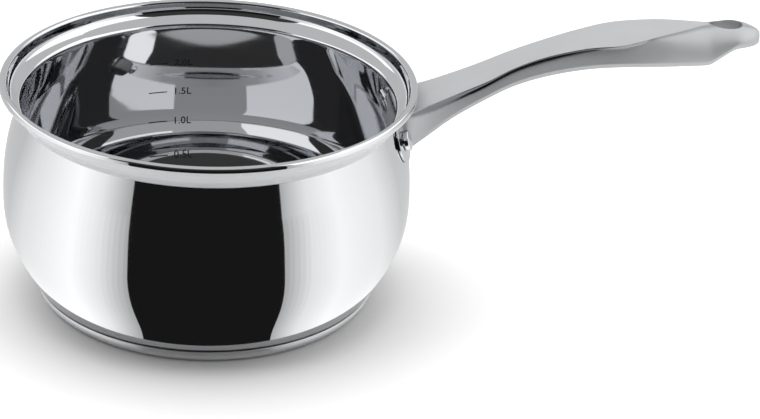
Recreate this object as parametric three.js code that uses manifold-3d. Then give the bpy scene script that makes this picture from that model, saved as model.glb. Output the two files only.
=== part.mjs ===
// A bellied stainless steel saucepan with a capsule base and a cast handle on a riveted bracket.
// Millimetres, +Z up. The origin is the middle of the resting face, and the handle points along +X.

import * as THREE from 'three';
import { mergeVertices } from 'three/addons/utils/BufferGeometryUtils.js';
import Module from 'manifold-3d';

const wasm = await Module();
wasm.setup();

const { clamp, degToRad, lerp, mapLinear, smoothstep } = THREE.MathUtils;

// Clearance between touching pieces, and the fineness of the round surfaces
const FIT_GAP = 0.3;
const ROUND_STEPS = 48;
const RIVET_STEPS = 20;
const CURVE_STEPS = 5;
const EDGE_STEPS = 3;

// Vessel, drawn from one sheet. Insets are taken from the rim's radius to the outside of the wall.
const PAN_HEIGHT = 110.2;
const RIM_RADIUS = 100;
const SHEET = 0.8;
const LIP_RADIUS = 1.8;
const LIP_DROP = 1.2;
const NECK_INSET = 9.25;
const NECK_DROP = 11.7;
const SHOULDER_INSET = 5.1;
const SHOULDER_BELOW_NECK = 14.5;
const SHOULDER_TAPER = 0.282;
const BELLY_INSET = 1.2;
const BELLY_HEIGHT = 50;
const FLOOR_INSET = 20.8;
const CORNER_RADIUS = 5;
const LOWER_WALL_ANGLE = 61;

// Capsule base: a steel cap pressed round an aluminium core, wrapped up to an angle of the corner
const BASE_THICKNESS = 5.6;
const CAP_SHEET = 0.6;
const CAP_WRAP_ANGLE = 34;
const CAP_EDGE_RADIUS = 5.6;

// Bracket plate that follows the wall, with a rivet in each ear
const RIVET_DROP = 23.8;
const RIVET_SPACING = 48.7;
const PLATE = 1;
const PLATE_HEIGHT = 21.5;
const PLATE_RISE = 0.5;
const EAR_REACH = 10.8;
const SHANK_RADIUS = 3;
const INNER_HEAD_RADIUS = 6.1;
const INNER_HEAD_HEIGHT = 2.4;
const OUTER_HEAD_RADIUS = 5.1;
const OUTER_HEAD_HEIGHT = 2.2;

// Handle, from the wall to its tip, and the teardrop hanging hole near the tip
const HANDLE_LENGTH = 175;
const HOLE_RADIUS = 5.6;
const HOLE_LENGTH = 17.3;
const HOLE_MARGIN = 9.3;
const CHIN_SLOPE = 0.66;
const TONGUE_THICKNESS = 9.5;
const TIP_THICKNESS = 4;
const TIP_ROUNDING = 15;
const LOWER_EDGE = 3.2;
const FLUTE_DEPTH = 1.9;

// Guide lines of the handle, as [share of the length, millimetres].
// Heights are above the rivets, and widths are half widths.
const TOP_LINE = [
  [0, 12.7], [0.05, 14.7], [0.13, 19.6], [0.22, 25.7], [0.3, 32.3], [0.39, 38], [0.5, 43],
  [0.6, 45.6], [0.72, 48.2], [0.85, 49.8], [1, 49.4],
];
const UNDER_LINE = [
  [0, -10.5], [0.05, -5.5], [0.13, 4.7], [0.22, 14], [0.3, 21], [0.39, 26], [0.5, 30],
  [0.6, 31.7], [0.72, 31.8], [0.85, 31.7], [1, 31.5],
];
const CREASE_LINE = [
  [0, 18.6], [0.05, 15], [0.13, 12.8], [0.22, 11.8], [0.3, 10.4], [0.39, 10.4], [0.5, 12.5],
  [0.595, 15.2], [0.7, 10.8], [0.78, 5.8], [0.85, 0.6], [1, 0.6],
];
const FLANK_LINE = [
  [0, 18], [0.05, 14.6], [0.13, 12.7], [0.22, 11.9], [0.3, 11.4], [0.39, 11.6], [0.5, 13.4],
  [0.6, 15.6], [0.7, 16], [0.8, 15], [0.9, 13.4], [1, 12],
];

// Shares that shape the handle's section: where the fluted grip gives way to the rounded tongue,
// how far the crown falls to the crease, how wide the flat keel is, and the points of the flank
const GRIP_END = 0.56;
const TONGUE_START = 0.74;
const FLUTE_START = 0.35;
const GRIP_CROWN = 0.08;
const TONGUE_CROWN = 0.02;
const KEEL_WIDTH = 0.8;
const FLANK_POINTS = [
  { depth: 0.85, drop: 0.14, angle: 23 },
  { depth: 1, drop: 0.36, angle: 46 },
  { depth: 0.5, drop: 0.68, angle: 69 },
];

// Finishes
const MIRROR_STEEL = { color: 0xc9cbce, roughness: 0.06, metalness: 1 };
const SATIN_STEEL = { color: 0xb4b6b9, roughness: 0.34, metalness: 1 };
const CAP_STEEL = { color: 0xb9bbbe, roughness: 0.22, metalness: 1 };
const CORE_ALUMINIUM = { color: 0xd2d4d6, roughness: 0.5, metalness: 1 };

// Heights and radii that the pieces share
const floorRadius = RIM_RADIUS - FLOOR_INSET;
const floorHeight = BASE_THICKNESS + SHEET;
const neckHeight = PAN_HEIGHT - NECK_DROP;
const shoulderHeight = neckHeight - SHOULDER_BELOW_NECK;
const stepRadius = RIM_RADIUS - 2 * LIP_RADIUS;
const stepHeight = PAN_HEIGHT - LIP_RADIUS;
const rivetHeight = PAN_HEIGHT - RIVET_DROP;

// Solids: a closed geometry becomes a solid for cutting, and a cut solid a geometry again

function toSolid(geometry) {
  const bare = geometry.clone();
  bare.deleteAttribute('normal');
  bare.deleteAttribute('uv');
  const merged = mergeVertices(bare, 1e-4);
  const corners = merged.index.array;
  const triangles = [];
  for (let i = 0; i < corners.length; i += 3) {
    const [a, b, c] = corners.slice(i, i + 3);
    if (a !== b && b !== c && c !== a) triangles.push(a, b, c);
  }
  const vertProperties = new Float32Array(merged.attributes.position.array);
  return new wasm.Manifold(new wasm.Mesh({ numProp: 3, vertProperties, triVerts: new Uint32Array(triangles) }));
}

function toGeometry(solid) {
  const { vertProperties, triVerts } = solid.getMesh();
  const geometry = new THREE.BufferGeometry();
  geometry.setAttribute('position', new THREE.BufferAttribute(vertProperties, 3));
  geometry.setIndex(new THREE.BufferAttribute(triVerts, 1));
  geometry.computeVertexNormals();
  return geometry;
}

function piece(name, geometry, finish) {
  const mesh = new THREE.Mesh(geometry, new THREE.MeshStandardMaterial(finish));
  mesh.name = name;
  return mesh;
}

// Turned shapes: an outline of radius and height is spun round +Z

function turned(outline, steps = ROUND_STEPS) {
  const geometry = new THREE.LatheGeometry(outline, steps);
  geometry.rotateX(Math.PI / 2);
  return geometry;
}

function pathPoints(path, steps) {
  const points = path.curves.flatMap((curve) => curve.getPoints(curve.isLineCurve ? 1 : steps));
  return points.filter((point, i) => i === 0 || point.distanceTo(points[i - 1]) > 1e-6);
}

// The same run of points moved sideways, to the right of its direction, with true corners
function besides(points, distance) {
  const last = points.length - 1;
  const sideways = (i) => new THREE.Vector2(
    points[i + 1].y - points[i].y,
    points[i].x - points[i + 1].x,
  ).normalize();
  return points.map((point, i) => {
    const before = sideways(Math.max(i - 1, 0));
    const after = sideways(Math.min(i, last - 1));
    const corner = before.clone().add(after).multiplyScalar(distance / (1 + before.dot(after)));
    return point.clone().add(corner);
  });
}

// Vessel: the inside of the wall rises from the floor over the belly and shoulder to a flared neck

function wallInside() {
  const path = new THREE.Path();
  const wallAngle = degToRad(LOWER_WALL_ANGLE);
  path.moveTo(0, floorHeight);
  path.lineTo(floorRadius, floorHeight);
  path.absarc(
    floorRadius, floorHeight + CORNER_RADIUS, CORNER_RADIUS,
    -Math.PI / 2, wallAngle - Math.PI / 2, false,
  );
  const start = path.currentPoint.clone();
  const rise = BELLY_HEIGHT - start.y;
  const lean = new THREE.Vector2(Math.cos(wallAngle), Math.sin(wallAngle));
  const lower = start.clone().addScaledVector(lean, 0.35 * rise);
  const belly = RIM_RADIUS - BELLY_INSET - SHEET;
  path.bezierCurveTo(lower.x, lower.y, belly, BELLY_HEIGHT - 0.47 * rise, belly, BELLY_HEIGHT);
  const shoulder = RIM_RADIUS - SHOULDER_INSET - SHEET;
  const taperRise = (shoulderHeight - BELLY_HEIGHT) / 3;
  path.bezierCurveTo(
    belly, BELLY_HEIGHT + taperRise,
    shoulder + SHOULDER_TAPER * taperRise, shoulderHeight - taperRise,
    shoulder, shoulderHeight,
  );
  const neck = RIM_RADIUS - NECK_INSET - SHEET;
  const neckRise = 0.82 * SHOULDER_BELOW_NECK;
  path.bezierCurveTo(
    shoulder - SHOULDER_TAPER * neckRise, shoulderHeight + neckRise,
    neck, neckHeight - 0.07 * SHOULDER_BELOW_NECK,
    neck, neckHeight,
  );
  const flareRise = stepHeight - neckHeight;
  path.bezierCurveTo(
    neck, neckHeight + 0.4 * flareRise,
    stepRadius, stepHeight - 0.92 * flareRise,
    stepRadius, stepHeight,
  );
  return path;
}

function lipCurl() {
  const path = new THREE.Path();
  path.absarc(RIM_RADIUS - LIP_RADIUS, stepHeight, LIP_RADIUS, Math.PI, 0, true);
  path.lineTo(RIM_RADIUS, stepHeight - LIP_DROP);
  return path;
}

const insideLine = pathPoints(wallInside(), CURVE_STEPS);
const outsideLine = besides(insideLine, SHEET);

// Radius of a line of the wall at a height, for heights above the floor
function radiusAt(line, height) {
  const wall = line.slice(2);
  const upper = clamp(wall.findIndex((point) => point.y >= height), 1, wall.length - 1);
  const [low, high] = [wall[upper - 1], wall[upper]];
  return mapLinear(height, low.y, high.y, low.x, high.x);
}

function vesselBlank() {
  const wetted = [...insideLine, ...pathPoints(lipCurl(), CURVE_STEPS).slice(1)];
  return turned([...besides(wetted, SHEET), ...wetted.reverse()]);
}

// Base: the cap's rim stops one fit gap under the corner of the vessel, at the wrap angle

const cornerReach = CORNER_RADIUS + SHEET + FIT_GAP;
const capRadius = floorRadius + cornerReach * Math.sin(degToRad(CAP_WRAP_ANGLE)) + CAP_SHEET;
const capTop = floorHeight + CORNER_RADIUS - cornerReach * Math.cos(degToRad(CAP_WRAP_ANGLE));

// The cap's rounded outline, moved inwards and closed off at a height
function baseOutline(inset, top) {
  const rounding = Math.min(CAP_EDGE_RADIUS, capTop);
  const edge = rounding - inset;
  const edgeEnd = Math.asin(clamp((top - rounding) / edge, -1, 0));
  const path = new THREE.Path();
  path.moveTo(0, inset);
  path.lineTo(capRadius - rounding, inset);
  path.absarc(capRadius - rounding, rounding, edge, -Math.PI / 2, edgeEnd, false);
  path.lineTo(path.currentPoint.x, top);
  return pathPoints(path, EDGE_STEPS);
}

function baseCap() {
  return turned([...baseOutline(0, capTop), ...baseOutline(CAP_SHEET, capTop).reverse()]);
}

function baseCore() {
  const top = BASE_THICKNESS - FIT_GAP;
  return turned([...baseOutline(CAP_SHEET + FIT_GAP, top), new THREE.Vector2(0, top)]);
}

// Rivets: each lies along the normal of the wall at its ear

const wallRadius = radiusAt(outsideLine, rivetHeight);
const rivetTurn = Math.asin(RIVET_SPACING / 2 / wallRadius);
const rivetTilt = Math.atan2(
  radiusAt(outsideLine, rivetHeight - OUTER_HEAD_RADIUS) - radiusAt(outsideLine, rivetHeight + OUTER_HEAD_RADIUS),
  2 * OUTER_HEAD_RADIUS,
);

// How far out along a rivet the wall, moved out by a distance, lies under the edge of a head
function placesUnderHead(line, distance, headRadius) {
  const places = [];
  for (let i = 0; i < RIVET_STEPS; i += 1) {
    const angle = (i / RIVET_STEPS) * 2 * Math.PI;
    const up = headRadius * Math.sin(angle);
    const aside = headRadius * Math.cos(angle);
    const out = Math.sqrt((radiusAt(line, rivetHeight + up) + distance) ** 2 - aside ** 2) - wallRadius;
    places.push(out * Math.cos(rivetTilt) + up * Math.sin(rivetTilt));
  }
  return places;
}

// The flats of the round wall lie inside its radius by this much at most
const flatDepth = wallRadius * (1 - Math.cos(Math.PI / ROUND_STEPS));
const innerSeat = Math.min(...placesUnderHead(insideLine, -flatDepth - FIT_GAP, INNER_HEAD_RADIUS));
const plateOutside = FIT_GAP + PLATE;
const outerSeat = Math.max(plateOutside, ...placesUnderHead(outsideLine, plateOutside, OUTER_HEAD_RADIUS)) + FIT_GAP;

function rivet() {
  const path = new THREE.Path();
  const innerEnd = innerSeat - INNER_HEAD_HEIGHT;
  const domeStart = INNER_HEAD_HEIGHT / 4;
  path.moveTo(0, innerEnd);
  path.bezierCurveTo(
    INNER_HEAD_RADIUS * 0.6, innerEnd,
    INNER_HEAD_RADIUS, innerEnd + domeStart,
    INNER_HEAD_RADIUS, innerSeat - domeStart,
  );
  path.lineTo(INNER_HEAD_RADIUS, innerSeat);
  path.lineTo(SHANK_RADIUS, innerSeat);
  path.lineTo(SHANK_RADIUS, outerSeat);
  path.lineTo(OUTER_HEAD_RADIUS, outerSeat);
  const outerEnd = outerSeat + OUTER_HEAD_HEIGHT;
  const rounding = OUTER_HEAD_HEIGHT / 3;
  path.lineTo(OUTER_HEAD_RADIUS, outerEnd - rounding);
  path.quadraticCurveTo(OUTER_HEAD_RADIUS, outerEnd, OUTER_HEAD_RADIUS - 2 * rounding, outerEnd);
  path.lineTo(0, outerEnd);
  return turned(pathPoints(path, EDGE_STEPS), RIVET_STEPS);
}

// A piece turned about +Z comes to lie along the normal of the wall at one ear
function atEar(object, side) {
  const tilt = new THREE.Group();
  tilt.rotation.y = Math.PI / 2 - rivetTilt;
  tilt.add(object);
  const place = new THREE.Group();
  place.rotation.z = side * rivetTurn;
  place.position.set(wallRadius * Math.cos(rivetTurn), side * wallRadius * Math.sin(rivetTurn), rivetHeight);
  place.add(tilt);
  return place;
}

function rivetHoles() {
  const radius = SHANK_RADIUS + FIT_GAP;
  const length = 2 * (SHEET + plateOutside + OUTER_HEAD_RADIUS);
  return [-1, 1].map((side) => {
    const drill = new THREE.CylinderGeometry(radius, radius, length, RIVET_STEPS);
    drill.rotateX(Math.PI / 2);
    const mesh = new THREE.Mesh(drill);
    atEar(mesh, side).updateWorldMatrix(true, true);
    return toSolid(drill.clone().applyMatrix4(mesh.matrixWorld));
  });
}

function vessel() {
  const [front, back] = rivetHoles();
  return toGeometry(toSolid(vesselBlank()).subtract(front).subtract(back));
}

// Bracket: a slice of a ring that follows the wall, cut to a long outline with round ends

const plateMiddle = rivetHeight + PLATE_RISE;

// The wall moved out by a distance, over the height of the plate and a margin above and below it
function wallBand(distance, margin) {
  const low = plateMiddle - PLATE_HEIGHT / 2 - margin;
  const high = Math.min(plateMiddle + PLATE_HEIGHT / 2 + margin, stepHeight - LIP_DROP);
  const steps = 2 * CURVE_STEPS;
  const heights = Array.from({ length: steps + 1 }, (_, i) => lerp(low, high, i / steps));
  return heights.map((height) => new THREE.Vector2(radiusAt(outsideLine, height) + distance, height));
}

function plateOutline() {
  const outline = new THREE.Shape();
  const end = RIVET_SPACING / 2 + EAR_REACH - PLATE_HEIGHT / 2;
  outline.absarc(end, plateMiddle, PLATE_HEIGHT / 2, -Math.PI / 2, Math.PI / 2, false);
  outline.absarc(-end, plateMiddle, PLATE_HEIGHT / 2, Math.PI / 2, 1.5 * Math.PI, false);
  return outline;
}

function bracket() {
  const inner = wallBand(FIT_GAP, PLATE);
  const outer = wallBand(plateOutside, PLATE);
  const ring = turned([...inner.reverse(), ...outer, inner[0]]);
  const reach = RIM_RADIUS + plateOutside;
  const block = new THREE.ExtrudeGeometry(plateOutline(), { depth: reach, bevelEnabled: false });
  block.rotateX(Math.PI / 2);
  block.rotateZ(Math.PI / 2);
  const [front, back] = rivetHoles();
  return toGeometry(toSolid(ring).intersect(toSolid(block)).subtract(front).subtract(back));
}

// Handle: sections set along its guide lines, cut to the bracket and pierced by the hanging hole

function guide(points) {
  const line = new THREE.CubicInterpolant(points.map((p) => p[0]), points.map((p) => p[1]), 1);
  return (share) => line.evaluate(share)[0];
}

const topLine = guide(TOP_LINE);
const underLine = guide(UNDER_LINE);
const creaseLine = guide(CREASE_LINE);
const flankLine = guide(FLANK_LINE);
const handleTip = wallRadius + HANDLE_LENGTH;
const tipStart = handleTip - TIP_ROUNDING;
const holeEnd = handleTip - HOLE_MARGIN;
const holeStart = holeEnd - HOLE_LENGTH;

// Half of the section at a distance along +X, from the crest down to the keel, as [y, z].
// Under the hanging hole the chin rises to a thin tongue, and the tip is rounded in plan.
function halfSection(x) {
  const share = clamp((x - wallRadius) / HANDLE_LENGTH, 0, 1);
  const beyond = Math.max(0, x - tipStart) / TIP_ROUNDING;
  const round = Math.sqrt(Math.max(0, 1 - beyond ** 2));
  const tongueUnder = topLine(1) - TONGUE_THICKNESS;
  const chin = underLine(share) + CHIN_SLOPE * Math.max(0, x - holeStart);
  const under = Math.min(chin, tongueUnder);
  const top = lerp(Math.min(tongueUnder + TIP_THICKNESS, topLine(share)), topLine(share), round);
  const flank = flankLine(share) * round;
  const crease = Math.min(creaseLine(share), flank);
  const tongue = smoothstep(share, GRIP_END, TONGUE_START);
  const brow = top - lerp(GRIP_CROWN, TONGUE_CROWN, tongue) * (top - under);
  const lower = under + Math.min(LOWER_EDGE, (top - under) / 3);
  const flute = FLUTE_DEPTH * smoothstep(share, 0, FLUTE_START);
  const flankPoints = FLANK_POINTS.map(({ depth, drop, angle }) => {
    const grip = [lerp(crease, flank, drop) - depth * flute, lerp(brow, lower, drop)];
    const turn = degToRad(angle);
    const rounded = [lerp(crease, flank, Math.sin(turn)), lerp(lower, brow, Math.cos(turn))];
    return [lerp(grip[0], rounded[0], tongue), lerp(grip[1], rounded[1], tongue)];
  });
  const half = [
    [0, top],
    [crease / 2, lerp(top, brow, 1 / 4)],
    [crease, brow],
    ...flankPoints,
    [flank, lower],
    [flank * KEEL_WIDTH, under],
    [0, under],
  ];
  return half.map(([y, z]) => [y, z + rivetHeight]);
}

function ringAt(x) {
  const half = halfSection(x);
  const other = half.slice(1, -1).reverse().map(([y, z]) => [-y, z]);
  return [...half, ...other].map(([y, z]) => new THREE.Vector3(x, y, z));
}

// Places of the sections along +X, from inside the wall to just short of the rounded tip
function stations() {
  const gripSteps = 30;
  const tipSteps = 6;
  const tipTurn = 0.94 * Math.PI / 2;
  const places = [wallRadius * Math.cos(rivetTurn) - SHEET];
  for (let i = 0; i <= gripSteps; i += 1) places.push(lerp(wallRadius, tipStart, i / gripSteps));
  for (let i = 1; i <= tipSteps; i += 1) places.push(tipStart + TIP_ROUNDING * Math.sin((i / tipSteps) * tipTurn));
  return places;
}

// A closed skin over a run of rings, with a flat face at each end
function skin(rings) {
  const count = rings[0].length;
  const index = [];
  for (let i = 0; i + 1 < rings.length; i += 1) {
    for (let j = 0; j < count; j += 1) {
      const a = i * count + j;
      const b = i * count + ((j + 1) % count);
      index.push(a, a + count, b, b, a + count, b + count);
    }
  }
  const face = (ring) => THREE.ShapeUtils.triangulateShape(ring.map((p) => new THREE.Vector2(p.y, p.z)), []);
  const last = (rings.length - 1) * count;
  for (const [a, b, c] of face(rings[0])) index.push(a, c, b);
  for (const [a, b, c] of face(rings.at(-1))) index.push(last + a, last + b, last + c);
  const geometry = new THREE.BufferGeometry().setFromPoints(rings.flat());
  geometry.setIndex(index);
  return geometry;
}

// A teardrop with its point towards the pan, cut through the whole height of the tongue
function hangingHole() {
  const centre = holeEnd - HOLE_RADIUS;
  const [slim, full] = [HOLE_RADIUS / 3, HOLE_RADIUS];
  const outline = new THREE.Shape();
  outline.moveTo(holeStart, 0);
  outline.bezierCurveTo(holeStart + slim, -slim, holeStart + full, -full, centre, -full);
  outline.absarc(centre, 0, HOLE_RADIUS, -Math.PI / 2, Math.PI / 2, false);
  outline.bezierCurveTo(holeStart + full, full, holeStart + slim, slim, holeStart, 0);
  return new THREE.ExtrudeGeometry(outline, { depth: 2 * PAN_HEIGHT, bevelEnabled: false, curveSegments: 8 });
}

// Everything inside the outer face of the bracket
function bracketBody() {
  const band = wallBand(plateOutside + FIT_GAP, PLATE_HEIGHT);
  const low = new THREE.Vector2(0, band[0].y);
  const high = new THREE.Vector2(0, band.at(-1).y);
  return turned([low, ...band, high]);
}

function handle() {
  const body = toSolid(skin(stations().map(ringAt)));
  return toGeometry(body.subtract(toSolid(bracketBody())).subtract(toSolid(hangingHole())));
}

// Assembly

const base = new THREE.Group();
base.add(piece('base_cap', baseCap(), CAP_STEEL), piece('base_core', baseCore(), CORE_ALUMINIUM));

const grip = new THREE.Group();
grip.add(piece('handle_bracket', bracket(), MIRROR_STEEL), piece('handle', handle(), SATIN_STEEL));
grip.add(atEar(piece('rivet_front', rivet(), MIRROR_STEEL), -1));
grip.add(atEar(piece('rivet_back', rivet(), MIRROR_STEEL), 1));

const saucepan = new THREE.Group();
saucepan.add(piece('vessel', vessel(), MIRROR_STEEL), base, grip);

export default saucepan;
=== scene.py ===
"""Looks of a bellied stainless steel saucepan with a capsule base and a cast, riveted handle."""
import math

import bpy
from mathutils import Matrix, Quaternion, Vector


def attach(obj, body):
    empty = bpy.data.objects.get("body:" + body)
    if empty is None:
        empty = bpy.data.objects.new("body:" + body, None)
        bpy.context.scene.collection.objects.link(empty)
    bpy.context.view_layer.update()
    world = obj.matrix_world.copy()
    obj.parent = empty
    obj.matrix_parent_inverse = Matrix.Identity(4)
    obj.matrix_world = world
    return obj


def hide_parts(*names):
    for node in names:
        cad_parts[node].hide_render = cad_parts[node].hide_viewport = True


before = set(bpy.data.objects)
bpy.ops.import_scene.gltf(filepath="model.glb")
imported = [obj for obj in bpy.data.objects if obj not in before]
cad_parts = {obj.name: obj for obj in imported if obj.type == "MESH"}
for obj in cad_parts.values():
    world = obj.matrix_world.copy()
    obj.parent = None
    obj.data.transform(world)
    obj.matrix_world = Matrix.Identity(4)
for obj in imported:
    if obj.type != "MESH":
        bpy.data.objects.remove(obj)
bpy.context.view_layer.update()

# Sizes are in millimetres, in the frame of the CAD model, and MM turns them into metres
MM = 0.001
WELD = 0.002 * MM
ROUND_STEPS = 192

# Vessel
PAN_HEIGHT = 110.2
RIM_RADIUS = 100
SHEET = 0.8
LIP_RADIUS = 1.8
LIP_DROP = 1.2
NECK_RADIUS = 90.75
NECK_HEIGHT = 98.5
SHOULDER_RADIUS = 94.9
SHOULDER_HEIGHT = 84
SHOULDER_TAPER = 0.282
BELLY_RADIUS = 98.8
BELLY_HEIGHT = 50
FLOOR_RADIUS = 79.2
FLOOR_HEIGHT = 6.4
CORNER_RADIUS = 5
LOWER_WALL_ANGLE = 61

# Capsule base
CAP_RADIUS = 83.2
CAP_TOP = 6.34
CAP_SHEET = 0.6
CAP_EDGE_RADIUS = 5.6

# Bracket and rivets
FIT_GAP = 0.3
RIVET_HEIGHT = 86.4
RIVET_SPACING = 48.7
PLATE = 1
PLATE_HEIGHT = 21.5
PLATE_RISE = 0.5
EAR_REACH = 10.8
SHANK_RADIUS = 3
INNER_HEAD_RADIUS = 6.1
INNER_HEAD_HEIGHT = 2.4
OUTER_HEAD_RADIUS = 5.1
OUTER_HEAD_HEIGHT = 2.2

# Handle
HANDLE_LENGTH = 174.9
HOLE_RADIUS = 5.6
HOLE_LENGTH = 17.3
HOLE_MARGIN = 9.3
CHIN_SLOPE = 0.66
TONGUE_THICKNESS = 9.5
TIP_THICKNESS = 4
TIP_ROUNDING = 15
LOWER_EDGE = 3.2
FLUTE_DEPTH = 1.9
TOP_LINE = [
    (0, 12.7), (0.05, 14.7), (0.13, 19.6), (0.22, 25.7), (0.3, 32.3), (0.39, 38), (0.5, 43),
    (0.6, 45.6), (0.72, 48.2), (0.85, 49.8), (1, 49.4),
]
UNDER_LINE = [
    (0, -10.5), (0.05, -5.5), (0.13, 4.7), (0.22, 14), (0.3, 21), (0.39, 26), (0.5, 30),
    (0.6, 31.7), (0.72, 31.8), (0.85, 31.7), (1, 31.5),
]
CREASE_LINE = [
    (0, 18.6), (0.05, 15), (0.13, 12.8), (0.22, 11.8), (0.3, 10.4), (0.39, 10.4), (0.5, 12.5),
    (0.595, 15.2), (0.7, 10.8), (0.78, 5.8), (0.85, 0.6), (1, 0.6),
]
FLANK_LINE = [
    (0, 18), (0.05, 14.6), (0.13, 12.7), (0.22, 11.9), (0.3, 11.4), (0.39, 11.6), (0.5, 13.4),
    (0.6, 15.6), (0.7, 16), (0.8, 15), (0.9, 13.4), (1, 12),
]
GRIP_END = 0.56
TONGUE_START = 0.74
FLUTE_START = 0.35
GRIP_CROWN = 0.08
TONGUE_CROWN = 0.02
KEEL_WIDTH = 0.8
TONGUE_FACET = 0.6
# Share of the flank that is polished and has its colour darkened as a painted dark reflection, by place along the
# handle
POLISH_AND_PAINTED_REFLECTION_REACH = [(0, 0.1), (0.08, 0.3), (0.2, 0.42), (0.4, 0.36), (0.52, 0.24), (0.6, 0.02), (1, 0)]


# Lines and outlines

def lerp(a, b, share):
    return a + (b - a) * share


def smoothstep(value, low, high):
    share = min(max((value - low) / (high - low), 0), 1)
    return share * share * (3 - 2 * share)


def bezier(start, leave, arrive, end, steps):
    """Points after start on a cubic curve, as (radius, height)."""
    points = []
    for i in range(1, steps + 1):
        t = i / steps
        s = 1 - t
        points.append(tuple(
            s ** 3 * a + 3 * s * s * t * b + 3 * s * t * t * c + t ** 3 * d
            for a, b, c, d in zip(start, leave, arrive, end)
        ))
    return points


def arc(centre, radius, start, end, steps):
    """Points on an arc, with its angles in degrees."""
    angles = [math.radians(lerp(start, end, i / steps)) for i in range(steps + 1)]
    return [(centre[0] + radius * math.cos(a), centre[1] + radius * math.sin(a)) for a in angles]


def besides(points, distance):
    """The same run of points moved to the right of its direction."""
    moved = []
    for i, (x, y) in enumerate(points):
        x0, y0 = points[max(i - 1, 0)]
        x1, y1 = points[min(i + 1, len(points) - 1)]
        length = math.hypot(x1 - x0, y1 - y0)
        moved.append((x + distance * (y1 - y0) / length, y - distance * (x1 - x0) / length))
    return moved


def ramp(points, place):
    """Value at a place between (place, value) points joined by straight lines."""
    for (x0, y0), (x1, y1) in zip(points, points[1:]):
        if x0 <= place <= x1:
            return lerp(y0, y1, (place - x0) / (x1 - x0))


def guide(points):
    """A smooth curve through (place, value) points."""
    slopes = []
    for i in range(len(points)):
        (x0, y0), (x1, y1) = points[max(i - 1, 0)], points[min(i + 1, len(points) - 1)]
        slopes.append((y1 - y0) / (x1 - x0))

    def value(place):
        i = 0
        while i < len(points) - 2 and place > points[i + 1][0]:
            i += 1
        (x0, y0), (x1, y1) = points[i], points[i + 1]
        h = x1 - x0
        t = min(max((place - x0) / h, 0), 1)
        return (
            y0 * (1 + 2 * t) * (1 - t) ** 2 + slopes[i] * h * t * (1 - t) ** 2
            + y1 * t * t * (3 - 2 * t) - slopes[i + 1] * h * t * t * (1 - t)
        )
    return value


# Modelling steps that several pieces share

def begin(name, add, **settings):
    """Adds a primitive with nothing else selected, and names it."""
    bpy.ops.object.select_all(action="DESELECT")
    add(**settings)
    piece = bpy.context.object
    piece.name = piece.data.name = name
    return piece


def close_up(piece):
    """Welds the seams of a finished shape and turns its faces outwards."""
    bpy.ops.mesh.select_all(action="SELECT")
    bpy.ops.mesh.remove_doubles(threshold=WELD)
    bpy.ops.mesh.normals_make_consistent(inside=False)
    bpy.ops.object.mode_set(mode="OBJECT")
    return piece


def turned(name, outline, steps=ROUND_STEPS):
    """An outline of (radius, height), drawn by extruding a point along it and spun round the axis."""
    piece = begin(name, bpy.ops.mesh.primitive_plane_add, size=MM)
    bpy.ops.object.mode_set(mode="EDIT")
    bpy.ops.mesh.merge(type="CENTER")
    places = [Vector((radius * MM, 0, height * MM)) for radius, height in outline]
    bpy.ops.transform.translate(value=places[0])
    for before, after in zip(places, places[1:]):
        bpy.ops.mesh.extrude_vertices_move(TRANSFORM_OT_translate={"value": after - before})
    bpy.ops.mesh.select_all(action="SELECT")
    bpy.ops.mesh.spin(steps=steps, angle=2 * math.pi, center=(0, 0, 0), axis=(0, 0, 1))
    return close_up(piece)


def finish_with(piece, kind, **settings):
    """Adds a modifier to a piece and applies it."""
    modifier = piece.modifiers.new(kind.title(), kind)
    for name, value in settings.items():
        setattr(modifier, name, value)
    bpy.ops.object.select_all(action="DESELECT")
    bpy.context.view_layer.objects.active = piece
    piece.select_set(True)
    bpy.ops.object.modifier_apply(modifier=modifier.name)


def smooth(piece, angle=40):
    bpy.ops.object.select_all(action="DESELECT")
    bpy.context.view_layer.objects.active = piece
    piece.select_set(True)
    bpy.ops.object.shade_smooth_by_angle(angle=math.radians(angle))


def set_down(piece):
    """Puts a piece's own place and turn into its mesh."""
    bpy.ops.object.select_all(action="DESELECT")
    bpy.context.view_layer.objects.active = piece
    piece.select_set(True)
    bpy.ops.object.transform_apply(location=True, rotation=True, scale=True)


def fit(piece, material, slot, *nodes):
    """Gives a finished piece its material and its place in the assembly."""
    piece.data.materials.clear()
    piece.data.materials.append(material)
    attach(piece, "root")
    if nodes:
        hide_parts(*nodes)
    return piece


# Materials

def linear(code):
    """A #rrggbb colour as linear red, green, blue and alpha."""
    parts = [int(code[i:i + 2], 16) / 255 for i in (1, 3, 5)]
    return [p / 12.92 if p <= 0.04045 else ((p + 0.055) / 1.055) ** 2.4 for p in parts] + [1]


def node(tree, kind, inputs=(), **settings):
    """Adds a node with its settings, and sets or links its inputs."""
    made = tree.nodes.new(kind)
    for name, value in settings.items():
        setattr(made, name, value)
    for name, value in dict(inputs).items():
        if isinstance(value, bpy.types.NodeSocket):
            tree.links.new(value, made.inputs[name])
        else:
            made.inputs[name].default_value = value
    return made


def new_material(name):
    material = bpy.data.materials.new(name)
    material.use_nodes = True
    material.node_tree.nodes.clear()
    return material, material.node_tree


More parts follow.
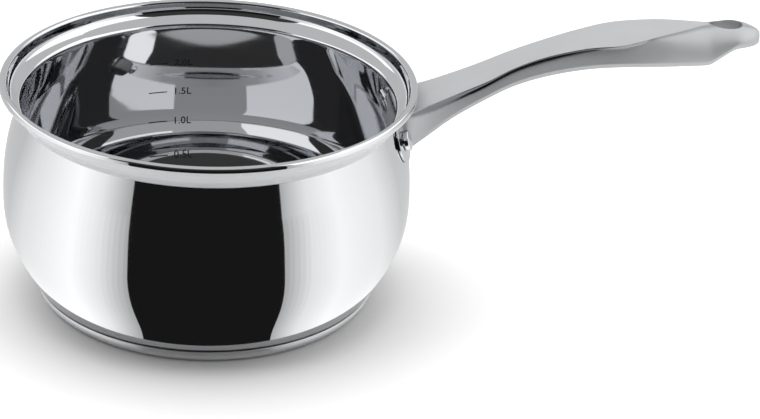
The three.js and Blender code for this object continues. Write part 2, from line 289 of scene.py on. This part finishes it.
def polished_stainless():
    """Drawn stainless sheet, buffed on a lathe: a clear mirror with faint rings from the buffing wheel.

    The hollow under the lip, which the wheel can't reach, stays satin.
    """
    material, tree = new_material("mirror_polished_stainless_steel")
    place = node(tree, "ShaderNodeTexCoord").outputs["Object"]
    rings = node(tree, "ShaderNodeMapping", {"Vector": place, "Scale": (20, 20, 1 / (0.9 * MM))})
    lines = node(tree, "ShaderNodeTexNoise", {"Vector": rings.outputs["Vector"], "Scale": 1, "Detail": 3})
    cloud = node(tree, "ShaderNodeTexNoise", {"Vector": place, "Scale": 1 / (35 * MM), "Detail": 2})
    mixed = node(tree, "ShaderNodeMath", {
        0: lines.outputs["Fac"], 1: cloud.outputs["Fac"],
    }, operation="MULTIPLY")
    rough = node(tree, "ShaderNodeMapRange", {
        "Value": mixed.outputs["Value"], "From Min": 0.15, "From Max": 0.45, "To Min": 0.025, "To Max": 0.06,
    })
    satin = node(tree, "ShaderNodeAttribute", attribute_name="satin")
    dulled = node(tree, "ShaderNodeMath", {
        0: satin.outputs["Fac"], 1: 0.5, 2: rough.outputs["Result"],
    }, operation="MULTIPLY_ADD")
    clear = node(tree, "ShaderNodeMapRange", {"Value": satin.outputs["Fac"], "To Min": 1, "To Max": 0.1})
    bump = node(tree, "ShaderNodeBump", {"Height": lines.outputs["Fac"], "Strength": 0.015, "Distance": 0.02 * MM})
    steel = node(tree, "ShaderNodeBsdfPrincipled", {
        "Base Color": linear("#d3d4d6"), "Metallic": clear.outputs["Result"], "Roughness": dulled.outputs["Value"],
        "Normal": bump.outputs["Normal"],
    })
    node(tree, "ShaderNodeOutputMaterial", {"Surface": steel.outputs["BSDF"]})
    return material


def satin_stainless():
    """Cast stainless, blasted to a soft satin and brushed along: pale and even, with polished flutes whose colour
    is darkened as a painted dark reflection.
    """
    material, tree = new_material("satin_brushed_cast_stainless_steel")
    place = node(tree, "ShaderNodeTexCoord").outputs["Object"]
    along = node(tree, "ShaderNodeMapping", {
        "Vector": place, "Rotation": (0, math.radians(18), 0),
        "Scale": (1 / (30 * MM), 1 / (0.8 * MM), 1 / (0.8 * MM)),
    })
    streaks = node(tree, "ShaderNodeTexNoise", {"Vector": along.outputs["Vector"], "Scale": 1, "Detail": 3})
    cloud = node(tree, "ShaderNodeTexNoise", {"Vector": place, "Scale": 1 / (25 * MM), "Detail": 2})
    # The mask lowers roughness and raises metallic in the polished flute, and also darkens its colour as a painted
    # dark reflection
    polish_and_painted_reflection = node(tree, "ShaderNodeAttribute", attribute_name="polish_and_painted_reflection").outputs["Fac"]
    grain = node(tree, "ShaderNodeMapRange", {
        "Value": streaks.outputs["Fac"], "From Min": 0.3, "From Max": 0.7, "To Min": 0.42, "To Max": 0.5,
    })
    rough = node(tree, "ShaderNodeMath", {
        0: polish_and_painted_reflection, 1: -0.36, 2: grain.outputs["Result"],
    }, operation="MULTIPLY_ADD")
    metal = node(tree, "ShaderNodeMapRange", {"Value": polish_and_painted_reflection, "To Min": 0.45, "To Max": 1})
    tint = node(tree, "ShaderNodeMix", {
        "Factor": cloud.outputs["Fac"], "A": linear("#aaacae"), "B": linear("#b4b5b7"),
    }, data_type="RGBA")
    # Painted dark reflection: the flute's base colour is darkened towards #6d6f72 to stand in for the dark floor it
    # mirrors
    flute = node(tree, "ShaderNodeMix", {"Factor": polish_and_painted_reflection, "B": linear("#6d6f72")}, data_type="RGBA")
    tree.links.new(tint.outputs[2], flute.inputs[6])
    bump = node(tree, "ShaderNodeBump", {"Height": streaks.outputs["Fac"], "Strength": 0.03, "Distance": 0.05 * MM})
    steel = node(tree, "ShaderNodeBsdfPrincipled", {
        "Metallic": metal.outputs["Result"], "Roughness": rough.outputs["Value"], "Normal": bump.outputs["Normal"],
    })
    tree.links.new(flute.outputs[2], steel.inputs["Base Color"])
    node(tree, "ShaderNodeOutputMaterial", {"Surface": steel.outputs["BSDF"]})
    return material


def turned_steel():
    """Magnetic steel, faced on a lathe: fine rings that blur what it mirrors."""
    material, tree = new_material("turned_magnetic_stainless_steel")
    place = node(tree, "ShaderNodeTexCoord").outputs["Object"]
    flat = node(tree, "ShaderNodeMapping", {"Vector": place, "Scale": (1, 1, 0)})
    radius = node(tree, "ShaderNodeVectorMath", {0: flat.outputs["Vector"]}, operation="LENGTH")
    rings = node(tree, "ShaderNodeTexNoise", {
        "W": radius.outputs["Value"], "Scale": 1 / (0.7 * MM), "Detail": 2,
    }, noise_dimensions="1D")
    rough = node(tree, "ShaderNodeMapRange", {
        "Value": rings.outputs["Fac"], "From Min": 0.3, "From Max": 0.7, "To Min": 0.34, "To Max": 0.48,
    })
    bump = node(tree, "ShaderNodeBump", {"Height": rings.outputs["Fac"], "Strength": 0.15, "Distance": 0.05 * MM})
    steel = node(tree, "ShaderNodeBsdfPrincipled", {
        "Base Color": linear("#c6c7c9"), "Metallic": 0.55, "Roughness": rough.outputs["Result"],
        "Normal": bump.outputs["Normal"],
    })
    node(tree, "ShaderNodeOutputMaterial", {"Surface": steel.outputs["BSDF"]})
    return material


def pressed_aluminium():
    """Plain pressed aluminium: pale, matt and slightly clouded."""
    material, tree = new_material("pressed_aluminium")
    place = node(tree, "ShaderNodeTexCoord").outputs["Object"]
    cloud = node(tree, "ShaderNodeTexNoise", {"Vector": place, "Scale": 1 / (4 * MM), "Detail": 3})
    rough = node(tree, "ShaderNodeMapRange", {"Value": cloud.outputs["Fac"], "To Min": 0.4, "To Max": 0.6})
    metal = node(tree, "ShaderNodeBsdfPrincipled", {
        "Base Color": linear("#dcdddd"), "Metallic": 1, "Roughness": rough.outputs["Result"],
    })
    node(tree, "ShaderNodeOutputMaterial", {"Surface": metal.outputs["BSDF"]})
    return material


def etched_mark():
    """Marks etched into the steel: dark, dull and uneven in depth."""
    material, tree = new_material("dark_etched_stainless_steel")
    place = node(tree, "ShaderNodeTexCoord").outputs["Object"]
    grain = node(tree, "ShaderNodeTexNoise", {"Vector": place, "Scale": 1 / (0.6 * MM), "Detail": 2})
    tint = node(tree, "ShaderNodeMix", {
        "Factor": grain.outputs["Fac"], "A": linear("#2a2b2d"), "B": linear("#45474a"),
    }, data_type="RGBA")
    mark = node(tree, "ShaderNodeBsdfPrincipled", {"Metallic": 0.4, "Roughness": 0.55})
    tree.links.new(tint.outputs[2], mark.inputs["Base Color"])
    node(tree, "ShaderNodeOutputMaterial", {"Surface": mark.outputs["BSDF"]})
    return material


mirror_steel = polished_stainless()
satin_steel = satin_stainless()
cap_steel = turned_steel()
core_aluminium = pressed_aluminium()
etched_steel = etched_mark()


# Vessel

STEP_RADIUS = RIM_RADIUS - 2 * LIP_RADIUS
STEP_HEIGHT = PAN_HEIGHT - LIP_RADIUS


def wall_inside():
    """The inside of the wall from the edge of the floor to the foot of the lip."""
    corner = (FLOOR_RADIUS, FLOOR_HEIGHT + CORNER_RADIUS)
    line = arc(corner, CORNER_RADIUS, -90, LOWER_WALL_ANGLE - 90, 16)
    start = line[-1]
    rise = BELLY_HEIGHT - start[1]
    lean = math.radians(LOWER_WALL_ANGLE)
    belly = BELLY_RADIUS - SHEET
    line += bezier(
        start,
        (start[0] + 0.35 * rise * math.cos(lean), start[1] + 0.35 * rise * math.sin(lean)),
        (belly, BELLY_HEIGHT - 0.47 * rise), (belly, BELLY_HEIGHT), 40,
    )
    shoulder = SHOULDER_RADIUS - SHEET
    taper_rise = (SHOULDER_HEIGHT - BELLY_HEIGHT) / 3
    line += bezier(
        (belly, BELLY_HEIGHT), (belly, BELLY_HEIGHT + taper_rise),
        (shoulder + SHOULDER_TAPER * taper_rise, SHOULDER_HEIGHT - taper_rise), (shoulder, SHOULDER_HEIGHT), 26,
    )
    neck = NECK_RADIUS - SHEET
    neck_rise = 0.82 * (NECK_HEIGHT - SHOULDER_HEIGHT)
    line += bezier(
        (shoulder, SHOULDER_HEIGHT), (shoulder - SHOULDER_TAPER * neck_rise, SHOULDER_HEIGHT + neck_rise),
        (neck, NECK_HEIGHT - 0.07 * (NECK_HEIGHT - SHOULDER_HEIGHT)), (neck, NECK_HEIGHT), 20,
    )
    flare_rise = STEP_HEIGHT - NECK_HEIGHT
    line += bezier(
        (neck, NECK_HEIGHT), (neck, NECK_HEIGHT + 0.4 * flare_rise),
        (STEP_RADIUS, STEP_HEIGHT - 0.92 * flare_rise), (STEP_RADIUS, STEP_HEIGHT), 28,
    )
    return line


WALL_INSIDE = wall_inside()
WALL_OUTSIDE = besides(WALL_INSIDE, SHEET)


def radius_at(line, height):
    """Radius of a line of the wall at a height."""
    for (r0, z0), (r1, z1) in zip(line, line[1:]):
        if z0 <= height <= z1:
            return lerp(r0, r1, (height - z0) / max(z1 - z0, 1e-9))
    return line[-1][0]


# Height from which the outside under the lip is satin
SATIN_FOOT = 96.5


def make_vessel():
    floor = [(radius, FLOOR_HEIGHT) for radius in (0, 10, 25, 40, 55, 66, 73, 77, 79)]
    curl = arc((RIM_RADIUS - LIP_RADIUS, STEP_HEIGHT), LIP_RADIUS, 180, 0, 16)[1:]
    drop = [(RIM_RADIUS, STEP_HEIGHT - share * LIP_DROP) for share in (0.5, 0.6, 1)]
    wetted = floor + WALL_INSIDE + curl + drop
    outline = besides(wetted, SHEET)
    outline[0] = (0, FLOOR_HEIGHT - SHEET)
    piece = turned("vessel_steel", outline + wetted[::-1])
    smooth(piece, 50)
    satin = piece.data.attributes.new("satin", "FLOAT", "POINT")
    for vertex in piece.data.vertices:
        radius, height = math.hypot(vertex.co.x, vertex.co.y) / MM, vertex.co.z / MM
        outside = radius > radius_at(WALL_INSIDE, height) + SHEET / 2
        under_lip = SATIN_FOOT < height < STEP_HEIGHT - 0.55 * LIP_DROP
        satin.data[vertex.index].value = 1 if outside and under_lip else 0
    return fit(piece, mirror_steel, "mirror_steel", "vessel")


# Litre marks on the inside of the wall, at the heights where the pan holds that much

MARK_AZIMUTH = 95.9
MARK_LETTER_HEIGHT = 3.9
MARK_DASH = (9.6, 0.55)
MARK_PROUD = 0.05
MARK_DROP = 1.8


def litres_to(height):
    """What the pan holds up to a height."""
    line = [(0, FLOOR_HEIGHT)] + WALL_INSIDE
    held = 0
    for (r0, z0), (r1, z1) in zip(line, line[1:]):
        if z1 > height:
            r1, z1 = lerp(r0, r1, (height - z0) / (z1 - z0)), height
        held += math.pi * (z1 - z0) * (r0 * r0 + r0 * r1 + r1 * r1) / 3
        if z1 >= height:
            break
    return held / 1e6


def height_of(litres):
    low, high = FLOOR_HEIGHT, STEP_HEIGHT
    for _ in range(40):
        middle = (low + high) / 2
        low, high = (middle, high) if litres_to(middle) < litres else (low, middle)
    return low


def make_litre_marks():
    marks = []
    for litres in (0.5, 1, 1.5, 2):
        height = height_of(litres) - MARK_DROP
        letters = begin("letters", bpy.ops.object.text_add)
        letters.data.body = f"{litres:.1f}L"
        letters.data.size = MARK_LETTER_HEIGHT / 0.73 * MM
        letters.data.space_character = 1.05
        letters.data.offset = 0.05 * MM
        letters.data.align_y = "CENTER"
        bpy.ops.object.convert(target="MESH")
        dash = begin("dash", bpy.ops.mesh.primitive_plane_add, size=MM)
        dash.scale = (*MARK_DASH, 1)
        dash.location.x = -(3.2 + MARK_DASH[0] / 2) * MM
        set_down(dash)
        bpy.ops.object.mode_set(mode="EDIT")
        bpy.ops.mesh.subdivide(number_cuts=11)
        bpy.ops.object.mode_set(mode="OBJECT")
        letters.select_set(True)
        bpy.ops.object.join()
        for vertex in dash.data.vertices:
            z = height + vertex.co.y / MM
            radius = radius_at(WALL_INSIDE, z) - MARK_PROUD
            turn = math.radians(MARK_AZIMUTH) - vertex.co.x / MM / radius
            vertex.co = Vector((radius * math.cos(turn), radius * math.sin(turn), z)) * MM
        marks.append(dash)
    bpy.ops.object.select_all(action="DESELECT")
    for mark in marks:
        mark.select_set(True)
    piece = bpy.context.view_layer.objects.active = marks[0]
    bpy.ops.object.join()
    piece.name = piece.data.name = "litre_marks"
    return fit(piece, etched_steel, None)


# Capsule base

def cap_outline(inset):
    """The cap's rounded outline, moved inwards."""
    edge = CAP_EDGE_RADIUS - inset
    flat = [(radius, inset) for radius in (0, 15, 30, 45, 60, 70, 76)]
    return flat + arc((CAP_RADIUS - CAP_EDGE_RADIUS, CAP_EDGE_RADIUS), edge, -90, 0, 14)


def make_base_cap():
    outer, inner = cap_outline(0), cap_outline(CAP_SHEET)
    half = CAP_SHEET / 2
    rim = arc((CAP_RADIUS - half, CAP_TOP - half), half, 0, 180, 8)
    piece = turned("base_cap_steel", outer + rim + inner[::-1])
    smooth(piece, 50)
    return fit(piece, cap_steel, "cap_steel", "base_cap")


# Bracket and rivets

WALL_RADIUS = radius_at(WALL_OUTSIDE, RIVET_HEIGHT)
RIVET_TURN = math.asin(RIVET_SPACING / 2 / WALL_RADIUS)
RIVET_TILT = math.atan2(
    radius_at(WALL_OUTSIDE, RIVET_HEIGHT - OUTER_HEAD_RADIUS)
    - radius_at(WALL_OUTSIDE, RIVET_HEIGHT + OUTER_HEAD_RADIUS),
    2 * OUTER_HEAD_RADIUS,
)
PLATE_OUTSIDE = FIT_GAP + PLATE


def make_bracket():
    columns, rows = 72, 18
    piece = begin(
        "handle_bracket_steel", bpy.ops.mesh.primitive_grid_add,
        x_subdivisions=columns, y_subdivisions=rows, size=2,
    )
    middle = RIVET_HEIGHT + PLATE_RISE
    half_height = PLATE_HEIGHT / 2
    straight = RIVET_SPACING / 2 + EAR_REACH - half_height
    for vertex in piece.data.vertices:
        u, v = vertex.co.x, vertex.co.y
        y = (straight + half_height) * math.sin(u * math.pi / 2)
        beyond = max(abs(y) - straight, 0)
        z = middle + v * math.sqrt(max(half_height ** 2 - beyond ** 2, 0))
        x = math.sqrt((radius_at(WALL_OUTSIDE, z) + FIT_GAP) ** 2 - y * y)
        vertex.co = Vector((x, y, z)) * MM
    bpy.ops.object.mode_set(mode="EDIT")
    bpy.ops.mesh.select_all(action="SELECT")
    bpy.ops.mesh.remove_doubles(threshold=WELD)
    bpy.ops.mesh.normals_make_consistent(inside=False)
    bpy.ops.object.mode_set(mode="OBJECT")
    outwards = piece.data.polygons[len(piece.data.polygons) // 2].normal.x > 0
    finish_with(piece, "SOLIDIFY", thickness=PLATE * MM, offset=1 if outwards else -1, use_even_offset=True)
    finish_with(piece, "BEVEL", width=0.3 * MM, segments=3, limit_method="ANGLE", angle_limit=math.radians(50))
    smooth(piece, 40)
    return fit(piece, mirror_steel, "mirror_steel", "handle_bracket")


def make_rivet(name, side, node_name):
    inner_seat = -SHEET - FIT_GAP - 0.55
    outer_seat = PLATE_OUTSIDE + FIT_GAP + 0.1
    inner_end = inner_seat - INNER_HEAD_HEIGHT
    dome_start = INNER_HEAD_HEIGHT / 4
    outline = [(0, inner_end)]
    outline += bezier(
        outline[0], (INNER_HEAD_RADIUS * 0.6, inner_end), (INNER_HEAD_RADIUS, inner_end + dome_start),
        (INNER_HEAD_RADIUS, inner_seat - dome_start), 14,
    )
    outline += [
        (INNER_HEAD_RADIUS, inner_seat), (SHANK_RADIUS, inner_seat),
        (SHANK_RADIUS, outer_seat), (OUTER_HEAD_RADIUS, outer_seat),
    ]
    rounding = OUTER_HEAD_HEIGHT / 3
    outer_end = outer_seat + OUTER_HEAD_HEIGHT
    outline += arc((OUTER_HEAD_RADIUS - rounding, outer_end - rounding), rounding, 0, 90, 8)
    outline += [(OUTER_HEAD_RADIUS * 0.5, outer_end + 0.05), (0, outer_end + 0.06)]
    piece = turned(name, outline, 48)
    piece.rotation_euler = (0, math.pi / 2 - RIVET_TILT, side * RIVET_TURN)
    piece.location = Vector((
        WALL_RADIUS * math.cos(RIVET_TURN), side * WALL_RADIUS * math.sin(RIVET_TURN), RIVET_HEIGHT,
    )) * MM
    set_down(piece)
    smooth(piece, 40)
    return fit(piece, mirror_steel, "mirror_steel", node_name)


# Handle

top_line, under_line = guide(TOP_LINE), guide(UNDER_LINE)
crease_line, flank_line = guide(CREASE_LINE), guide(FLANK_LINE)
flute_line = guide([(0, 0), (0.05, 0.6), (0.14, 1.15), (0.24, 1.25), (0.36, 1.1), (0.68, 0.45), (1, 0)])
flank_turn = guide([(0, 0), (0.14, 23), (0.36, 46), (0.68, 69), (1, 90)])
HANDLE_TIP = WALL_RADIUS + HANDLE_LENGTH
TIP_START = HANDLE_TIP - TIP_ROUNDING
HOLE_END = HANDLE_TIP - HOLE_MARGIN
HOLE_START = HOLE_END - HOLE_LENGTH
CROWN_PLACES = (0, 0.3, 0.6, 0.85, 0.96, 1)
FLANK_PLACES = (0.05, 0.14, 0.24, 0.36, 0.52, 0.68, 0.84, 0.95, 1)


def half_section(x):
    """Half of the handle's section at a distance along +X, from the crest to the keel, as (y, z)."""
    share = min(max((x - WALL_RADIUS) / HANDLE_LENGTH, 0), 1)
    beyond = max(0, x - TIP_START) / TIP_ROUNDING
    rounding = math.sqrt(max(0, 1 - beyond ** 2))
    tongue_under = top_line(1) - TONGUE_THICKNESS
    under = min(under_line(share) + CHIN_SLOPE * max(0, x - HOLE_START), tongue_under)
    top = lerp(min(tongue_under + TIP_THICKNESS, top_line(share)), top_line(share), rounding)
    flank = flank_line(share) * rounding
    crease = min(crease_line(share), flank)
    tongue = smoothstep(share, GRIP_END, TONGUE_START)
    brow = top - lerp(GRIP_CROWN, TONGUE_CROWN, tongue) * (top - under)
    lower = under + min(LOWER_EDGE, (top - under) / 3)
    flute = FLUTE_DEPTH * smoothstep(share, 0, FLUTE_START)
    half = [(crease * c, lerp(top, brow, c * c)) for c in CROWN_PLACES]
    for drop in FLANK_PLACES:
        turn = math.radians(flank_turn(drop))
        grip = (lerp(crease, flank, drop) - flute_line(drop) * flute, lerp(brow, lower, drop))
        slope = lerp(1 - math.cos(turn), drop, TONGUE_FACET)
        rounded = (lerp(crease, flank, math.sin(turn)), lerp(brow, lower, slope))
        half.append((lerp(grip[0], rounded[0], tongue), lerp(grip[1], rounded[1], tongue)))
    half += [(flank * lerp(1, KEEL_WIDTH, c), lerp(lower, under, c)) for c in (0.25, 0.75, 1)]
    half += [(flank * KEEL_WIDTH * c, under) for c in (0.9, 0.5, 0)]
    return [(y, z + RIVET_HEIGHT) for y, z in half]


def polish_and_painted_reflection_at(place):
    """How much the handle's side is polished and darkened with a painted dark reflection: fully in the flute under
    the crease, not at all elsewhere.
    """
    share = min(max((place.x - WALL_RADIUS) / HANDLE_LENGTH, 0), 1)
    half = half_section(place.x)
    brow, lower = half[len(CROWN_PLACES) - 1][1], half[len(CROWN_PLACES) + len(FLANK_PLACES) - 1][1]
    drop = (brow - place.z) / (brow - lower)
    reach = ramp(POLISH_AND_PAINTED_REFLECTION_REACH, share)
    return smoothstep(drop, 0, 0.04) * smoothstep(drop, reach + 0.1, reach - 0.06)


def stations():
    """Places of the sections along +X, from inside the bracket to the rounded tip."""
    places = [WALL_RADIUS - 6, WALL_RADIUS - 3]
    places += [lerp(WALL_RADIUS, TIP_START, i / 56) for i in range(57)]
    places += [TIP_START + TIP_ROUNDING * math.sin(i / 8 * 0.97 * math.pi / 2) for i in range(1, 9)]
    return places


def make_hole_cutter():
    """A teardrop bar with its point towards the pan."""
    centre = HOLE_END - HOLE_RADIUS
    slim, full = HOLE_RADIUS / 3, HOLE_RADIUS
    side = [(HOLE_START, 0)] + bezier(
        (HOLE_START, 0), (HOLE_START + slim, slim), (HOLE_START + full, full), (centre, full), 16,
    )
    side += arc((centre, 0), HOLE_RADIUS, 90, 0, 14)[1:]
    outline = side + [(x, -y) for x, y in side[-2:0:-1]]
    cutter = begin("hole_cutter", bpy.ops.mesh.primitive_circle_add, vertices=len(outline), fill_type="NGON")
    for vertex, (x, y) in zip(cutter.data.vertices, outline):
        vertex.co = Vector((x, y, PAN_HEIGHT)) * MM
    bpy.ops.object.mode_set(mode="EDIT")
    bpy.ops.mesh.select_all(action="SELECT")
    bpy.ops.mesh.extrude_region_move(TRANSFORM_OT_translate={"value": (0, 0, 60 * MM)})
    return close_up(cutter)


def make_handle():
    places = stations()
    rings = []
    for x in places:
        half = half_section(x)
        ring = half + [(-y, z) for y, z in half[-2:0:-1]]
        rings.append([Vector((x, y, z)) * MM for y, z in ring])
    around = len(rings[0])
    piece = begin(
        "handle_steel", bpy.ops.mesh.primitive_grid_add,
        x_subdivisions=len(rings) - 1, y_subdivisions=around, size=1,
    )
    for vertex in piece.data.vertices:
        i = round((vertex.co.x + 0.5) * (len(rings) - 1))
        j = round((vertex.co.y + 0.5) * around) % around
        vertex.co = rings[i][j]
    bpy.ops.object.mode_set(mode="EDIT")
    bpy.ops.mesh.select_all(action="SELECT")
    bpy.ops.mesh.remove_doubles(threshold=WELD)
    bpy.ops.mesh.select_all(action="DESELECT")
    bpy.ops.mesh.select_mode(type="EDGE")
    bpy.ops.mesh.select_non_manifold()
    bpy.ops.mesh.edge_face_add()
    close_up(piece)
    finish_with(piece, "SUBSURF", levels=2, render_levels=2)

    root = [(radius_at(WALL_OUTSIDE, z) + PLATE_OUTSIDE + FIT_GAP, z) for z in [55 + 2 * i for i in range(26)]]
    seat = turned("bracket_cutter", [(0, 55)] + root + [(0, root[-1][1])], 96)
    finish_with(piece, "BOOLEAN", object=seat, operation="DIFFERENCE", solver="EXACT")
    hole = make_hole_cutter()
    finish_with(piece, "BOOLEAN", object=hole, operation="DIFFERENCE", solver="EXACT")
    for cutter in (seat, hole):
        bpy.data.objects.remove(cutter)
    smooth(piece, 40)
    # Marks the polished flute, where the material also darkens the colour as a painted dark reflection
    polish_and_painted_reflection = piece.data.attributes.new("polish_and_painted_reflection", "FLOAT", "POINT")
    for vertex in piece.data.vertices:
        polish_and_painted_reflection.data[vertex.index].value = polish_and_painted_reflection_at(vertex.co / MM)
    return fit(piece, satin_steel, "satin_steel", "handle")


make_vessel()
make_litre_marks()
make_base_cap()
make_bracket()
make_rivet("rivet_front_steel", -1, "rivet_front")
make_rivet("rivet_back_steel", 1, "rivet_back")
make_handle()
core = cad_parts["base_core"]
core.data.materials.clear()
core.data.materials.append(core_aluminium)


# Stage: a pale floor, soft light from both sides and black flags, laid out as seen from the camera

STAGE_TURN = math.radians(-9.25)
CARD_APEX = (5.1, -41.1)
CARD_START = 86
CARD_END = 2850
CARD_RISE = 1040
FLOOR_SHADES = [
    (-180, 0.6), (-140, 0.7), (-120, 0.75), (-103, 1.1), (-70, 1.5), (-55, 1.2), (-37.3, 0.55), (-37.1, 0.012),
    (44.9, 0.012), (45.1, 0.6), (60, 1.15), (77, 1.4), (105, 1.2), (125, 0.8), (145, 0.7), (180, 0.6),
]


def on_stage(x, y, z):
    """A place in metres, with +X to the camera's right and -Y towards it."""
    cos, sin = math.cos(STAGE_TURN), math.sin(STAGE_TURN)
    return Vector((x * cos - y * sin, x * sin + y * cos, z))


def plain_light(name, strength):
    material, tree = new_material(name)
    light = node(tree, "ShaderNodeEmission", {"Color": (1, 1, 1, 1), "Strength": strength})
    node(tree, "ShaderNodeOutputMaterial", {"Surface": light.outputs["Emission"]})
    return material


def matt(name, colour):
    material, tree = new_material(name)
    paint = node(tree, "ShaderNodeBsdfDiffuse", {"Color": linear(colour)})
    node(tree, "ShaderNodeOutputMaterial", {"Surface": paint.outputs["BSDF"]})
    return material


def make_floor():
    floor = begin("floor", bpy.ops.mesh.primitive_grid_add, size=24, location=(0, 0, -0.05 * MM))
    floor.data.materials.append(matt("pale_floor", "#f6f6f6"))


def hide_from(card, *rays):
    for ray in rays:
        setattr(card, "visible_" + ray, False)


def make_floor_card():
    """A floor and low wall that only the mirrors see: black in front, white to the sides, grey behind."""
    apex = Vector(CARD_APEX)
    turns = sorted({*range(-180, 181, 3), *(turn for turn, _ in FLOOR_SHADES)})
    card = begin(
        "floor_card", bpy.ops.mesh.primitive_grid_add, size=1, x_subdivisions=len(turns) - 1, y_subdivisions=2,
    )
    shade = card.data.attributes.new("shade", "FLOAT", "POINT")
    for vertex in card.data.vertices:
        turn = turns[round((vertex.co.x + 0.5) * (len(turns) - 1))]
        ahead = Vector((math.sin(math.radians(turn)), -math.cos(math.radians(turn))))
        along = apex.dot(ahead)
        to_pan = math.sqrt(along ** 2 - apex.length_squared + CARD_START ** 2) - along
        reach = to_pan if vertex.co.y < -0.4 else CARD_END
        place = apex + reach * ahead
        up = CARD_RISE if vertex.co.y > 0.4 else 0.4
        vertex.co = on_stage(place.x * MM, place.y * MM, up * MM)
        shade.data[vertex.index].value = ramp(FLOOR_SHADES, turn)
    material, tree = new_material("floor_as_mirrored")
    seen = node(tree, "ShaderNodeAttribute", attribute_name="shade")
    light = node(tree, "ShaderNodeEmission", {"Color": (1, 1, 1, 1), "Strength": seen.outputs["Fac"]})
    node(tree, "ShaderNodeOutputMaterial", {"Surface": light.outputs["Emission"]})
    card.data.materials.append(material)
    hide_from(card, "camera", "diffuse", "shadow", "transmission")


def make_card(name, material, azimuths, elevations, distance=3):
    """A patch of the studio's wall between two azimuths, to the right of the camera, and two elevations."""
    card = begin(name, bpy.ops.mesh.primitive_grid_add, size=1, x_subdivisions=24, y_subdivisions=12)
    for vertex in card.data.vertices:
        azimuth = math.radians(lerp(*azimuths, vertex.co.x + 0.5))
        elevation = math.radians(lerp(*elevations, vertex.co.y + 0.5))
        vertex.co = on_stage(
            distance * math.sin(azimuth) * math.cos(elevation),
            -distance * math.cos(azimuth) * math.cos(elevation),
            distance * math.sin(elevation),
        )
    card.data.materials.append(material)
    hide_from(card, "camera")


make_floor()
make_floor_card()
softbox = plain_light("softbox", 1.7)
black = plain_light("black_flag", 0.05)
make_card("softbox_right", softbox, (48, 140), (19, 55))
make_card("softbox_left", softbox, (-135, -48), (19, 32))
make_card("flag_high", black, (-50, 50), (19, 56), 2.9)

world = bpy.data.worlds.new("studio")
bpy.context.scene.world = world
world.use_nodes = True
world.node_tree.nodes.clear()
room = node(world.node_tree, "ShaderNodeBackground", {"Color": (1, 1, 1, 1), "Strength": 0.68})
node(world.node_tree, "ShaderNodeOutputWorld", {"Surface": room.outputs["Background"]})

bpy.ops.object.light_add(type="AREA", location=on_stage(-0.4, 1.1, 2.2))
key = bpy.context.object
key.name = "overhead_light"
key.data.shape = "SQUARE"
key.data.size = 3.8
key.data.energy = 92
key.visible_glossy = False

# Camera

bpy.ops.object.camera_add(location=(-0.10618, -1.17922, 0.63725))
camera = bpy.context.object
camera.data.lens = 127.895
camera.data.sensor_width = 36
camera.data.clip_start = 0.05
camera.data.clip_end = 50
look = Vector((0.08365, -0.01362, 0.04444)) - camera.location
roll = Quaternion((0, 0, 1), math.radians(3.036))
camera.rotation_euler = (look.to_track_quat("-Z", "Y") @ roll).to_euler()
bpy.context.scene.camera = camera

bpy.context.scene.view_settings.view_transform = "Standard"
bpy.context.scene.cycles.max_bounces = 24
bpy.context.scene.cycles.glossy_bounces = 16
bpy.context.scene.cycles.caustics_reflective = False
